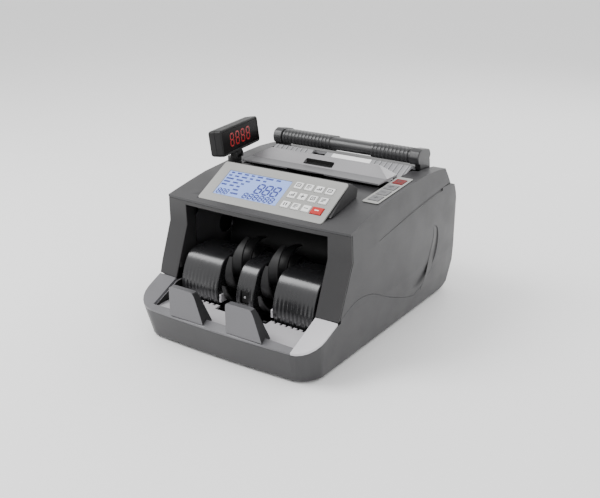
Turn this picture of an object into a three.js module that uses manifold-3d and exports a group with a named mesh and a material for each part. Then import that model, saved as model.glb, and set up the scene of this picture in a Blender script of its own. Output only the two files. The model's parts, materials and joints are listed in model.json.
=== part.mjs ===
// Banknote counting machine: a desktop friction-feed counter with a top hopper, a front stacker,
// a sloping control console, a swivelling customer display and a fold-back handle.
// Millimetres, +Z up, the front faces -Y. The origin is on the table, under the middle of the machine.
import * as THREE from 'three';
import { mergeVertices } from 'three/addons/utils/BufferGeometryUtils.js';
import Module from 'manifold-3d';

const wasm = await Module();
wasm.setup();

// ---------- driving dimensions ----------
const HALF_WIDTH = 125; // widest part of the body
const FRONT_Y = -166; // front wall of the base, at its corners
const REAR_Y = 171;
const BASE_Z = 3; // underside of the case, lifted by the feet
const BOW = 5; // how far the front swells forward at the middle
const BOW_STEPS = 10;
const BOW_BEHIND = -80; // nothing behind this y is bowed
const WALL = 2.6;
const GAP = 0.4; // clearance between neighbouring pieces

const POCKET_HALF = 97; // note pocket and front opening
const STRIP_TOP_Z = 60.5; // where the base's side strips meet the bezel
const TRAY_FRONT_Z = 39;
const BEZEL_BOTTOM_Y = -119.5;
const BEZEL_CREASE = [-96, 119.5];
const DECK_FRONT = [-97, 151.7];
const OPENING_TOP_Z = 144;
const OPENING_HALF = 96.5;
const BEZEL_THICK = 3;

const HOPPER_HALF = 99;
const HOPPER_FRONT_Y = 14;
const HOPPER_REAR_Y = 104;
const DECK_KEYS_Y = [-31, 54]; // straight stretch of the deck that carries the side keys
const DECK_KEYS_Z = [164.6, 172.4];

const IMPELLER = { y: -72, z: 62, r: 50, x: 25, width: 17, blades: 9, hub: 13 };
const GUIDE_SPANS = [[-92, -38.5], [-12, 12], [38.5, 92]];
const GUIDE_FACE = [ // side view of the note guides, from their flat top round to their foot
  [-72, 92.4], [-90, 92.4], [-99.5, 90.4], [-106, 85.4], [-112, 75], [-116.5, 62], [-117.5, 51],
  [-114.8, 40], [-110, 28], [-108, 7],
];
const SHAFT_R = 4;
const FEED = { y: 40, z: 136, r: 20 };
const PICKUP = { y: 74, z: 161.5, r: 13 };
const FRICTION = { y: 39, z: 163.6, r: 7, rod: 2.5 };
const FEED_MOTOR = { y: 96, z: 52, r: 20 };
const STACKER_MOTOR = { y: 6, z: 34, r: 17 };
const FRAME_X = 101.5; // inner face of each steel side frame
const FRAME_THICK = 1.6;
const PULLEY_X = [106, 111]; // pulleys and belts run outside the left side frame
const PULLEY_R = { impeller: 16, feed: 16, pickup: 6.5, motor: 7 };
const BELT_THICK = 1.4;

const CONSOLE = { y: -91.5, z: 153.6, slope: 28.94, length: 62.6, half: 84.5, plate: 2 };
const LCD = { x: [-70, 18], v: [11, 50.5] };
const KEY = { columns: [29, 42.6, 56.2, 69.8], rows: [46.3, 31.2, 16], width: 10, depth: 9 };
const KEY_RISE = 1.2;
const SIDE_KEY = { x: 107.5, width: 13, depth: 14, y: [-17.5, 0, 17.5, 37], rise: 0.9 };

const DISPLAY = { x: -103.6, y: 7.1, z: 202.7, yaw: -9.7, tilt: 7.8, width: 95, height: 32, depth: 18 };
const DISPLAY_HINGE_DROP = 21; // tilt hinge below the middle of the case
const DISPLAY_LEAD = 3.4; // the case stands this far in front of its swivel axis
const COVER_HINGE = { y: 49, z: 165, pin: 1.6 };
const HANDLE = { half: 100, pivotY: 112, pivotZ: 159, pin: 2.2 };
const POST = { x: -107, r: 8.6 }; // the display's swivel post

// ---------- materials ----------
const material = (color, roughness, metalness = 0) =>
  new THREE.MeshStandardMaterial({ color, roughness, metalness });
const MATERIALS = {
  body: material(0x67676b, 0.45, 0.15),
  bezel: material(0x46464a, 0.5, 0.1),
  silver: material(0xb9b9be, 0.4, 0.2),
  black: material(0x151517, 0.5),
  smoke: material(0x3a3a3d, 0.25),
  rubber: material(0x1c1c1c, 0.9),
  steel: material(0x9a9c9f, 0.35, 0.9),
  lcd: material(0xb9cdfb, 0.2),
  redWindow: material(0x2a0205, 0.1),
  keyWhite: material(0xe6e6e4, 0.5),
  keyGrey: material(0x8e8e90, 0.5),
  keyRed: material(0xd0301e, 0.45),
  board: material(0x1f5a35, 0.6),
};

// ---------- solids ----------
function toSolid(geometry) {
  const bare = geometry.index ? geometry.toNonIndexed() : geometry.clone();
  const points = new THREE.BufferGeometry().setAttribute('position', bare.getAttribute('position'));
  const merged = mergeVertices(points, 1e-4);
  return new wasm.Manifold(new wasm.Mesh({
    numProp: 3,
    vertProperties: merged.attributes.position.array,
    triVerts: new Uint32Array(merged.index.array),
  }));
}

function toGeometry(solid) {
  const mesh = solid.getMesh();
  const positions = new Float32Array(mesh.numVert * 3);
  for (let i = 0; i < mesh.numVert; i++) {
    positions.set(mesh.vertProperties.subarray(i * mesh.numProp, i * mesh.numProp + 3), i * 3);
  }
  const geometry = new THREE.BufferGeometry();
  geometry.setAttribute('position', new THREE.BufferAttribute(positions, 3));
  geometry.setIndex(new THREE.BufferAttribute(mesh.triVerts, 1));
  return geometry;
}

const join = (...solids) => solids.reduce((a, b) => a.add(b));
const cut = (solid, ...cutters) => cutters.reduce((a, b) => a.subtract(b), solid);

function extrude(outline, depth, basis, steps = 1) {
  const shape = new THREE.Shape(outline.map(([u, v]) => new THREE.Vector2(u, v)));
  const geometry = new THREE.ExtrudeGeometry(shape, { depth, steps, bevelEnabled: false });
  geometry.applyMatrix4(basis);
  return geometry;
}

const AXES_X = new THREE.Matrix4().makeBasis(
  new THREE.Vector3(0, 1, 0), new THREE.Vector3(0, 0, 1), new THREE.Vector3(1, 0, 0));
const AXES_Y = new THREE.Matrix4().makeBasis(
  new THREE.Vector3(1, 0, 0), new THREE.Vector3(0, 0, 1), new THREE.Vector3(0, -1, 0));

// An outline of [y, z] points, extruded from x0 to x1.
const extrudeX = (outline, x0, x1) =>
  toSolid(extrude(outline, x1 - x0, AXES_X).translate(x0, 0, 0));
// An outline of [x, z] points, extruded from y0 to y1.
const extrudeY = (outline, y0, y1) =>
  toSolid(extrude(outline, y1 - y0, AXES_Y).translate(0, y1, 0));
// An outline of [x, y] points, extruded from z0 to z1.
const extrudeZ = (outline, z0, z1) =>
  toSolid(extrude(outline, z1 - z0, new THREE.Matrix4()).translate(0, 0, z0));

const bowAt = (x) => BOW * (1 - (x / HALF_WIDTH) ** 2);

// As extrudeX, from -half to half, with every point in front of BOW_BEHIND swelled forward.
function sweepX(outline, half, steps = BOW_STEPS) {
  const geometry = extrude(outline, 2 * half, AXES_X, steps).translate(-half, 0, 0);
  const position = geometry.getAttribute('position');
  for (let i = 0; i < position.count; i++) {
    if (position.getY(i) < BOW_BEHIND) position.setY(i, position.getY(i) - bowAt(position.getX(i)));
  }
  return toSolid(geometry);
}

const box = (x0, x1, y0, y1, z0, z1) => toSolid(
  new THREE.BoxGeometry(x1 - x0, y1 - y0, z1 - z0).translate((x0 + x1) / 2, (y0 + y1) / 2, (z0 + z1) / 2));

const cylinderX = (y, z, r, x0, x1, sides = 24) => toSolid(
  new THREE.CylinderGeometry(r, r, x1 - x0, sides).rotateZ(Math.PI / 2).translate((x0 + x1) / 2, y, z));

const cylinderZ = (x, y, r, z0, z1, sides = 24) => toSolid(
  new THREE.CylinderGeometry(r, r, z1 - z0, sides).rotateX(Math.PI / 2).translate(x, y, (z0 + z1) / 2));

const mirrorX = (solid) => solid.mirror([1, 0, 0]);

// Points of an arc in degrees, both ends included.
function arc(cu, cv, r, from, to, count) {
  return Array.from({ length: count + 1 }, (_, i) => {
    const a = THREE.MathUtils.degToRad(from + ((to - from) * i) / count);
    return [cu + r * Math.cos(a), cv + r * Math.sin(a)];
  });
}

// A rectangle with rounded corners.
function roundedRect(u0, u1, v0, v1, r, count = 3) {
  return [
    ...arc(u1 - r, v0 + r, r, -90, 0, count),
    ...arc(u1 - r, v1 - r, r, 0, 90, count),
    ...arc(u0 + r, v1 - r, r, 90, 180, count),
    ...arc(u0 + r, v0 + r, r, 180, 270, count),
  ];
}

// The outline moved inwards by d along the mean of its two edge normals (counter-clockwise outline).
function inset(outline, d) {
  const n = outline.length;
  return outline.map((p, i) => {
    const a = new THREE.Vector2(...outline[(i + n - 1) % n]);
    const b = new THREE.Vector2(...p);
    const c = new THREE.Vector2(...outline[(i + 1) % n]);
    const e0 = b.clone().sub(a).normalize();
    const e1 = c.clone().sub(b).normalize();
    const normal = new THREE.Vector2(-(e0.y + e1.y), e0.x + e1.x).normalize();
    const reach = d / Math.max(0.5, normal.dot(new THREE.Vector2(-e0.y, e0.x)));
    return [b.x + normal.x * reach, b.y + normal.y * reach];
  });
}

function smooth(points, count) {
  const curve = new THREE.SplineCurve(points.map(([u, v]) => new THREE.Vector2(u, v)));
  return curve.getPoints(count).map((p) => [p.x, p.y]);
}

// ---------- outer form ----------
const DECK = [
  [126, 170], [108, 172.2], [81, 173.4], [DECK_KEYS_Y[1], DECK_KEYS_Z[1]],
  [DECK_KEYS_Y[0], DECK_KEYS_Z[0]], [-58.5, 159.6], [-85, 154.3], DECK_FRONT,
];
const REAR = [[REAR_Y, 68], [168.5, 95], [162, 123], [153, 144]];
const LEDGE = [[141, 148], [134, 159]]; // the top cover stands in from the rear wings here
const SIDE_OUTLINE = [
  [-157, BASE_Z], ...arc(REAR_Y - 26, BASE_Z + 26, 26, -90, 0, 5), ...REAR, ...LEDGE, ...DECK,
  BEZEL_CREASE, [BEZEL_BOTTOM_Y, STRIP_TOP_Z], [FRONT_Y, TRAY_FRONT_Z],
];
const CROSS_RIGHT = [[116, BASE_Z], [121.5, 39], [124.3, 62], [HALF_WIDTH, 118], [124, 152], [122.5, 180]];
const CROSS_OUTLINE = [...CROSS_RIGHT, ...CROSS_RIGHT.map(([x, z]) => [-x, z]).reverse()];
// The outline in plan at the height of the tray's front edge, and how it draws in towards the table.
const PLAN = { frontHalf: 121.6, front: FRONT_Y - 2, corner: 28, rearCorner: 15 };
const PLAN_OUTLINE = [
  ...arc(PLAN.frontHalf - PLAN.corner, PLAN.front + PLAN.corner, PLAN.corner, -86, 0, 6),
  ...arc(HALF_WIDTH - PLAN.rearCorner, REAR_Y - PLAN.rearCorner, PLAN.rearCorner, 0, 90, 4),
  ...arc(PLAN.rearCorner - HALF_WIDTH, REAR_Y - PLAN.rearCorner, PLAN.rearCorner, 90, 180, 4),
  ...arc(PLAN.corner - PLAN.frontHalf, PLAN.front + PLAN.corner, PLAN.corner, 180, 266, 6),
  [-50, PLAN.front - 6], [50, PLAN.front - 6],
];

function planPrism(d) {
  const slab = (z0, z1, low, high) => {
    const geometry = extrude(inset(PLAN_OUTLINE, d), z1 - z0, new THREE.Matrix4());
    const position = geometry.getAttribute('position');
    for (let i = 0; i < position.count; i++) {
      const inFront = position.getY(i) < 0;
      const level = position.getZ(i) > 0 ? high : low;
      position.setX(i, position.getX(i) * (inFront ? level.front : level.rear));
      if (inFront) position.setY(i, position.getY(i) + level.setback);
    }
    return toSolid(geometry.translate(0, 0, z0));
  };
  const straight = { front: 1, rear: 1, setback: 0 };
  return join(slab(0, TRAY_FRONT_Z, { front: 0.953, rear: 0.928, setback: 9 }, straight),
    slab(TRAY_FRONT_Z, 200, straight, { front: 1.16, rear: 1, setback: 0 }));
}

// A point v up the console's face and w out of it, as [y, z].
function consoleAt(v, w) {
  const slope = THREE.MathUtils.degToRad(CONSOLE.slope);
  return [CONSOLE.y + v * Math.cos(slope) - w * Math.sin(slope),
    CONSOLE.z + v * Math.sin(slope) + w * Math.cos(slope)];
}

function envelope(d) {
  return sweepX(inset(SIDE_OUTLINE, d), HALF_WIDTH + 1 - d)
    .intersect(extrudeY(inset(CROSS_OUTLINE, d), FRONT_Y - 20, REAR_Y + 10))
    .intersect(planPrism(d));
}

// The joint line between the lower case and the upper housing, seen from the side, front to rear.
const S_CURVE = [
  [BEZEL_BOTTOM_Y, STRIP_TOP_Z], [-111.4, 62.4], [-97.6, 68.9], [-81.3, 72.6], [-64.3, 71.6],
  [-46.6, 67.5], [-28.1, 59], [-6.4, 48.5], [18.7, 38], [44.9, 28.9], [64, 24.5],
];
const C_CURVE = [
  [64, 24.5], [84.5, 31.8], [97.2, 40.7], [107, 54.9], [115.2, 71.9], [118.4, 90], [118.8, 112],
];
const CREASE_REAR = [118.8, 147.6];
function lowerRegion(shift) {
  const seam = [...smooth(S_CURVE, 14), ...smooth(C_CURVE, 8).slice(1), CREASE_REAR, [200, CREASE_REAR[1]]];
  const lifted = seam.map(([y, z]) => [y, z + shift]);
  return extrudeX(
    [[-200, -10], [200, -10], ...lifted.reverse(), [-200, STRIP_TOP_Z + shift]], -200, 200);
}

// The region of the thin ramped tray insert: everything above the case's own top edge in front of the bezel.
const strip = (dz) => [[-200, TRAY_FRONT_Z + dz], [FRONT_Y, TRAY_FRONT_Z + dz],
  [BEZEL_BOTTOM_Y, STRIP_TOP_Z + dz]];
const TRAY_THICK = 2.4;
const RIM = 5; // depth of the tray's front rim, at its ends

const BEZEL_TOP_Z = 148.7;
function bezelRegion(grow) {
  const back = BEZEL_THICK + grow;
  const [low, high] = [STRIP_TOP_Z + GAP - grow, BEZEL_TOP_Z + grow];
  return sweepX([
    [-180, low], [BEZEL_BOTTOM_Y + back, low], [BEZEL_CREASE[0] + back, BEZEL_CREASE[1]],
    [DECK_FRONT[0] + back, high], [-180, high],
  ], HALF_WIDTH + 4);
}

const SHELL = cut(envelope(0), envelope(WALL));
const REAR_PANEL = { half: 94, z: [22, 132] };
const rearWindow = (grow) => box(
  -REAR_PANEL.half - grow, REAR_PANEL.half + grow, 140, 190, REAR_PANEL.z[0] - grow, REAR_PANEL.z[1] + grow);

function lowerCase() {
  const [back, above] = [BEZEL_BOTTOM_Y + 6, STRIP_TOP_Z + 4];
  const trayCut = extrudeX([...strip(-TRAY_THICK - GAP), [back, STRIP_TOP_Z - TRAY_THICK - GAP],
    [back, above], [-200, above]], -200, 200);
  const lower = SHELL.intersect(lowerRegion(0));
  return cut(lower, trayCut, rearWindow(GAP));
}

function upperHousing() {
  const hopper = box(-HOPPER_HALF, HOPPER_HALF, HOPPER_FRONT_Y, HOPPER_REAR_Y, 150, 190);
  const consoleWell = box(-70, 70, -78, -44, 145, 175);
  const scoop = toSolid(new THREE.CylinderGeometry(16, 16, 52, 20).rotateZ(Math.PI / 2).scale(1, 1, 0.35)
    .translate(-2, 7.5, 172.5));
  const armSlots = [1, -1].map((s) => box(s * 102 - 4.6, s * 102 + 4.6, 84, 128, 150, 185));
  const [keyX, keyY] = [SIDE_KEY.width / 2 + 0.5, SIDE_KEY.depth / 2 + 0.5];
  const keyWells = SIDE_KEY.y.map((y) =>
    box(SIDE_KEY.x - keyX, SIDE_KEY.x + keyX, y - keyY, y + keyY, 155, 180));
  const displayHole = cylinderZ(POST.x, DISPLAY.y, POST.r + GAP, 150, 190, 20);
  const [plateTop, plateUnder] = [6, -CONSOLE.plate - GAP];
  const plateWell = extrudeX([consoleAt(-GAP, plateTop), consoleAt(-GAP, plateUnder),
    consoleAt(20, plateUnder), consoleAt(20, plateTop)], -CONSOLE.half - GAP, CONSOLE.half + GAP);
  const lug = extrudeX(roundedRect(106, 118, 152, 171.5, 2, 1), 107, 110.5);
  const pinHole = cylinderX(HANDLE.pivotY, HANDLE.pivotZ, HANDLE.pin + GAP, -120, 120, 12);
  const upper = cut(SHELL, lowerRegion(GAP), bezelRegion(GAP), rearWindow(GAP));
  return cut(join(cut(upper, hopper, consoleWell, scoop, ...armSlots, ...keyWells, displayHole, plateWell),
    lug, mirrorX(lug)), pinHole);
}

function frontBezel() {
  const opening = extrudeY([[-OPENING_HALF, 20], [OPENING_HALF, 20], [OPENING_HALF, OPENING_TOP_Z],
    [-OPENING_HALF, OPENING_TOP_Z]], -200, 0);
  const face = cut(envelope(0).intersect(bezelRegion(0)), opening);
  const collarOuter = box(-OPENING_HALF - 2.2, OPENING_HALF + 2.2, -112, -82, 70, OPENING_TOP_Z + 2.2);
  const collar = cut(collarOuter, opening, sweepX([[-160, 0], [-117, STRIP_TOP_Z],
    [BEZEL_CREASE[0] + 1, BEZEL_CREASE[1]], [DECK_FRONT[0] + 1, 160], [-160, 160]], HALF_WIDTH + 4));
  return join(face, collar);
}

function rearPanel() {
  const vents = Array.from({ length: 11 }, (_, i) => {
    const x = -75 + i * 15;
    return box(x - 1.8, x + 1.8, 140, 190, 84, 116);
  });
  const inletHole = box(42 - GAP, 70 + GAP, 150, 190, 38 - GAP, 58 + GAP);
  const switchHole = box(12 - GAP, 27 + GAP, 150, 190, 37 - GAP, 59 + GAP);
  return cut(SHELL.intersect(rearWindow(0)), ...vents, inletHole, switchHole);
}

// ---------- stacker ----------
const RIB_PITCH = 7.4; // spacing of the tray's comb and of the hopper's ribs
function stackerTray() {
  const top = envelope(0);
  const band = extrudeX([...strip(40), ...strip(-TRAY_THICK).reverse()], -200, 200)
    .intersect(box(-200, 200, -200, BEZEL_BOTTOM_Y - GAP, 20, STRIP_TOP_Z));
  const pocket = box(-POCKET_HALF, POCKET_HALF, FRONT_Y + RIM, -90, 10, 80);
  const rim = cut(top.intersect(band), pocket);
  const lip = FRONT_Y + RIM;
  const wall = extrudeX([[lip - 1, 34], [-104.2, 34], [-104.2, 57], [-120.4, 57], [lip - 1, 38]],
    POCKET_HALF - 0.5, POCKET_HALF + 2);
  const floorEnd = -116.4;
  const floor = extrudeX([[lip - 1, 35.4], [floorEnd, 36.6], [floorEnd, 39], [lip, 37.8], [lip, 40.4],
    [lip - 1, 40.4]], -POCKET_HALF - 1, POCKET_HALF + 1);
  const slotHalf = IMPELLER.width / 2 + 2.5;
  const slots = [-IMPELLER.x, IMPELLER.x].map((x) => box(x - slotHalf, x + slotHalf, -126, -90, 20, 45));
  const comb = Array.from({ length: 7 }, (_, i) => 43 + i * RIB_PITCH).flatMap((x) => [x, -x])
    .map((x) => box(x - 1.6, x + 1.6, floorEnd - 3.5, -90, 20, 45));
  return cut(join(rim, wall, mirrorX(wall), floor), ...slots, ...comb);
}

// The dark rounded guides that the notes slide down, each side of the impellers. They are open at the back.
function stackerGuide() {
  const { y, z } = IMPELLER;
  const [back, foot, wall] = [y + 14, 7, 2.4];
  const face = smooth(GUIDE_FACE, 22);
  const outline = (rear) => [[rear, GUIDE_FACE[0][1]], ...face, [rear, foot]];
  const hollow = inset(outline(back + 16), wall);
  const guides = GUIDE_SPANS.map(([x0, x1]) =>
    cut(extrudeX(outline(back), x0, x1), extrudeX(hollow, x0 + wall, x1 - wall)));
  const [barFront, barHalf] = [GUIDE_FACE.at(-1)[0], GUIDE_SPANS[2][1]];
  const bar = extrudeX(roundedRect(barFront, back, foot, foot + 3.4, 0.8, 1), -barHalf, barHalf);
  const shaftHole = cylinderX(y, z, SHAFT_R + 1.5, -99, 99, 16);
  const sensor = box(-6, 6, -125, -112, 50, 65);
  return cut(join(...guides, bar), shaftHole, sensor);
}

// The curved plate behind the impellers that carries notes down from the feed rollers.
function noteGuidePlate() {
  const path = smooth([[-80.5, 146], [-40, 146], [8, 142], [14, 126], [-2, 108], [-17, 84], [-18.5, 52],
    [-18, 14]], 18);
  const back = inset([...path, [60, 14], [60, 200], [-80.5, 200]], 2.2).slice(0, path.length);
  return extrudeX([...path, ...back.reverse()].reverse(), -98, 98);
}

// Its soft blades trail the rotation, so that those at the front point upwards.
function impeller() {
  const { y, z, r, blades, hub, width } = IMPELLER;
  const blade = (start) => {
    const side = (offset, taper) => Array.from({ length: 6 }, (_, i) => {
      const t = i / 5;
      const a = start - 1.15 * t * t - offset * (1 - taper * t);
      const reach = hub - 1 + (r - hub + 1) * t;
      return [y + reach * Math.cos(a), z + reach * Math.sin(a)];
    });
    return extrudeX([...side(0, 0), ...side(0.1, 0.8).reverse()], -width / 2, width / 2);
  };
  const ring = cylinderX(y, z, hub, -width / 2, width / 2, 20);
  const fins = Array.from({ length: blades }, (_, i) => blade((i * 2 * Math.PI) / blades));
  return cut(join(ring, ...fins), cylinderX(y, z, SHAFT_R + 0.3, -width, width, 16));
}

// Clips over the front wall. The right-hand edge splays outwards.
function noteStop(x) {
  const front = [[x, 38.2], [x + 48, 38.2], [x + 37, 69], [x + 32.5, 75], [x + 4, 75], [x, 71]];
  const foot = FRONT_Y + RIM + GAP;
  const side = [[-169.4, 40.4], [foot, 44.3], [foot, 38.2], [-153, 38.2], [-162, 75], [-169.4, 75]];
  const block = extrudeY(front, -170, -150).intersect(extrudeX(side, x - 5, x + 60));
  const hollow = extrudeY(inset(front, 2.2), -167, -140).translate([0, 0, -2.4]);
  return cut(block, hollow);
}

// ---------- console ----------
const KEY_HALF = [KEY.width / 2, KEY.depth / 2];
const isStartKey = (column, row) => column === 3 && row === 2;
const keySize = (column, row) => (isStartKey(column, row) ? [7, 5] : KEY_HALF);

// Side outline, in machine axes, of the dark wedge under the faceplate.
function consoleHousing() {
  const under = CONSOLE.plate + GAP;
  const deckAt = (y) => [y, deckHeight(y) + GAP];
  const outline = [[-79, deckHeight(-79) + 3 * GAP], deckAt(-58.5), deckAt(-31), deckAt(-24), [-19.5, 174.5],
    consoleAt(CONSOLE.length + 4, -under - 1), consoleAt(CONSOLE.length, -under), consoleAt(13, -under)];
  const flare = [[CONSOLE.half + 5, 150], [CONSOLE.half - 0.5, 186]];
  const section = [...flare, ...flare.map(([x, z]) => [-x, z]).reverse()];
  const outer = extrudeX(outline, -100, 100).intersect(extrudeY(section, -120, 0));
  const wall = 3;
  const inner = extrudeX([deckAt(-95), deckAt(-40), [-36, 176],
    consoleAt(CONSOLE.length - wall, -under - wall), consoleAt(16, -under - wall)],
    -CONSOLE.half + wall, CONSOLE.half - wall);
  return cut(outer, inner);
}

function deckHeight(y) {
  const i = DECK.findIndex((p) => p[0] <= y);
  const [a, b] = [DECK[i], DECK[i - 1]];
  return a[1] + ((y - a[0]) * (b[1] - a[1])) / (b[0] - a[0]);
}

// The pieces below are made in the console's own frame: x across, y up the slope, z out of the face.
function consoleFaceplate() {
  const face = extrudeZ(roundedRect(-CONSOLE.half, CONSOLE.half, 0, CONSOLE.length, 3), -CONSOLE.plate, 0);
  const window = box(LCD.x[0], LCD.x[1], LCD.v[0], LCD.v[1], -9, 9);
  const wells = KEY.rows.flatMap((v, row) => KEY.columns.map((x, column) => {
    const [a, b] = keySize(column, row);
    return box(x - a - 0.5, x + a + 0.5, v - b - 0.5, v + b + 0.5, -9, 9);
  }));
  return cut(face, window, ...wells);
}

// A key cap with a chamfered top, standing rise proud of the face it comes through.
function keyCap(halfX, halfY, rise) {
  const post = box(-halfX, halfX, -halfY, halfY, -1.8, rise - 0.5);
  const crown = toSolid(new THREE.CylinderGeometry(Math.SQRT1_2, Math.SQRT1_2 * 1.12, 0.6, 4)
    .rotateY(Math.PI / 4).rotateX(Math.PI / 2).scale(2 * halfX * 0.88, 2 * halfY * 0.88, 1)
    .translate(0, 0, rise - 0.3));
  return join(post, crown);
}

const SIDE_PLATE_TOP = 1.1;
function sideKeyPlate() {
  const plate = extrudeZ(roundedRect(-10, 10, -31, 52, 2), 0.35, SIDE_PLATE_TOP);
  return cut(plate, ...SIDE_KEY.y.map((y) => box(-7, 7, y - 7.5, y + 7.5, -1, 4)));
}

// ---------- hopper ----------
const RAMP = { low: [53.5, 164.2], high: [84, 178.4] };
function hopperRamp() {
  const [low, high] = [RAMP.low, RAMP.high];
  const plate = extrudeX([low, [low[0] + 1, low[1] - 2.6], [84, 175.4], [96, 170.6], [103.4, 169],
    [103.4, 171.4], [96, 173.2], [86.5, 177.8], high], -HOPPER_HALF + 1, HOPPER_HALF - 1);
  const rollerSlots = [-30, 30].map((x) => box(x - 10, x + 10, 59, 89, 150, 190));
  const ribs = Array.from({ length: 7 }, (_, i) => 50 + i * RIB_PITCH).flatMap((x) => [x, -x])
    .map((x) => extrudeX([[56, 164.2], [83, 177], [83, 179], [56, 166.6]], x - 1, x + 1));
  const hookNotches = [-97, 97].map((x) => box(x - 4.5, x + 4.5, 50, 60.5, 150, 190));
  return cut(join(plate, ...ribs), ...rollerSlots, ...hookNotches);
}

// The hump in front of the notes: a lip at the front, a sloping face, and hipped ends.
const COVER = { half: 96, front: 8, rear: 52, z: 172.9, lipY: 28, ridgeY: 45, ridgeZ: 185, ridgeHalf: 77 };
const LIP_ARCH = { x: -2, half: 44, forward: 3, up: 1.6 }; // over the finger scoop
function archedLip(outline) {
  const geometry = extrude(outline, 2 * COVER.half, AXES_X, 32).translate(-COVER.half, 0, 0);
  const position = geometry.getAttribute('position');
  for (let i = 0; i < position.count; i++) {
    const across = Math.min(1, Math.abs(position.getX(i) - LIP_ARCH.x) / LIP_ARCH.half);
    const arch = Math.cos((Math.PI * across) / 2) ** 2;
    if (position.getY(i) < COVER.front + 1) {
      position.setY(i, position.getY(i) - LIP_ARCH.forward * arch);
      position.setZ(i, position.getZ(i) + LIP_ARCH.up * arch);
    }
  }
  return toSolid(geometry);
}

function feedCover() {
  const { half, front, rear, z, lipY, ridgeY, ridgeZ, ridgeHalf } = COVER;
  const side = [[front, z], [rear, z + 0.8], [rear - 0.5, z + 3], [ridgeY + 1, ridgeZ], [ridgeY - 1, ridgeZ],
    [lipY, z + 2.4], [front, z + 1.8]];
  const hip = [[half, z - 2], [half, z + 2.6], [ridgeHalf, ridgeZ]];
  const hips = [...hip, ...hip.map(([u, v]) => [-u, v]).reverse()];
  const outer = archedLip(side).intersect(extrudeY(hips, 0, 60));
  const hollow = extrudeX([[lipY + 2, z - 3], [rear - 3, z - 3], [rear - 3, z + 3], [ridgeY, ridgeZ - 2.6],
    [lipY + 4, z + 0.6]], -ridgeHalf, ridgeHalf);
  const fingerSlot = extrudeY(roundedRect(-20.5, 20.5, z + 3.4, z + 8.4, 2), lipY - 6, lipY + 10)
    .add(box(-20.5, 20.5, lipY + 2, lipY + 7, z + 1, z + 9));
  const underLip = toSolid(new THREE.CylinderGeometry(17, 17, 52, 20).rotateZ(Math.PI / 2).scale(1, 1, 0.1)
    .translate(-2, front, z));
  const hook = extrudeX([...arc(COVER_HINGE.y, COVER_HINGE.z, 3, 180, 360, 6), [rear, z + 1],
    [rear - 6, z + 1]], half - 2.4, half);
  const pin = cylinderX(COVER_HINGE.y, COVER_HINGE.z, COVER_HINGE.pin, half - 1, FRAME_X + 2.4, 12);
  return join(cut(outer, hollow, fingerSlot, underLip), hook, pin, mirrorX(hook), mirrorX(pin));
}

// ---------- handle ----------
const GRIPS = [[-92, -19], [39, 91]]; // the bar is slimmer between and outside these sleeves
function carryHandle() {
  const section = [
    [88, 180.5], [107, 174.4], [114.5, 177], [119.5, 187], [116, 193.2], [96, 197], [89.5, 194.6], [86, 188],
  ];
  const bar = extrudeX(inset(section, 1.4), 2 - HANDLE.half, HANDLE.half - 2);
  const sleeves = GRIPS.map(([x0, x1]) => extrudeX(inset(section, 0.3), x0, x1));
  const cap = extrudeX(inset(section, -0.6), HANDLE.half - 7, HANDLE.half + 5.5);
  const arm = extrudeX([...arc(HANDLE.pivotY, HANDLE.pivotZ, 6, 180, 360, 8), [119, 171], [117.5, 182],
    [90, 184], [94, 171.5]], HANDLE.half - 1.5, HANDLE.half + 5.5);
  const pin = cylinderX(HANDLE.pivotY, HANDLE.pivotZ, HANDLE.pin, HANDLE.half + 5, 110, 12);
  return join(bar, ...sleeves, cap, mirrorX(cap), arm, mirrorX(arm), pin, mirrorX(pin));
}

// ---------- customer display (its own frame: x across the face, y backwards, z up) ----------
function displayCase() {
  const { width, height, depth } = DISPLAY;
  const shell = extrudeY(roundedRect(-width / 2, width / 2, -height / 2, height / 2, 4), 0, depth);
  const [edgeX, edgeZ] = [width / 2 - 2.5, height / 2 - 2.5];
  const recess = extrudeY(roundedRect(-edgeX, edgeX, -edgeZ, edgeZ, 2), -5, 3);
  const [lugR, lugTop] = [3.6, -height / 2 + 1];
  const lug = extrudeX([...arc(depth / 2, -DISPLAY_HINGE_DROP, lugR, 180, 360, 8),
    [depth / 2 + lugR, lugTop], [depth / 2 - lugR, lugTop]], -4.5, 4.5);
  const pin = cylinderX(depth / 2, -DISPLAY_HINGE_DROP, 1.5, -8.6, 8.6, 12);
  return join(cut(shell, recess), lug, pin);
}

function displayWindow() {
  const [halfX, halfZ] = [DISPLAY.width / 2 - 2.9, DISPLAY.height / 2 - 2.9];
  return extrudeY(roundedRect(-halfX, halfX, -halfZ, halfZ, 2), 0.4, 2.6);
}

function displayNeck() {
  const y = DISPLAY.depth / 2;
  const top = -DISPLAY_HINGE_DROP;
  const foot = cylinderZ(0, y + DISPLAY_LEAD, POST.r, -30.2, -25.4, 20);
  const ear = extrudeX([[y - 4, -25.8], [y + 4, -25.8], ...arc(y, top, 4, 0, 180, 8)], 5.2, 9.2);
  return cut(join(foot, ear, mirrorX(ear)), cylinderX(y, top, 1.8, -12, 12, 12));
}

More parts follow.
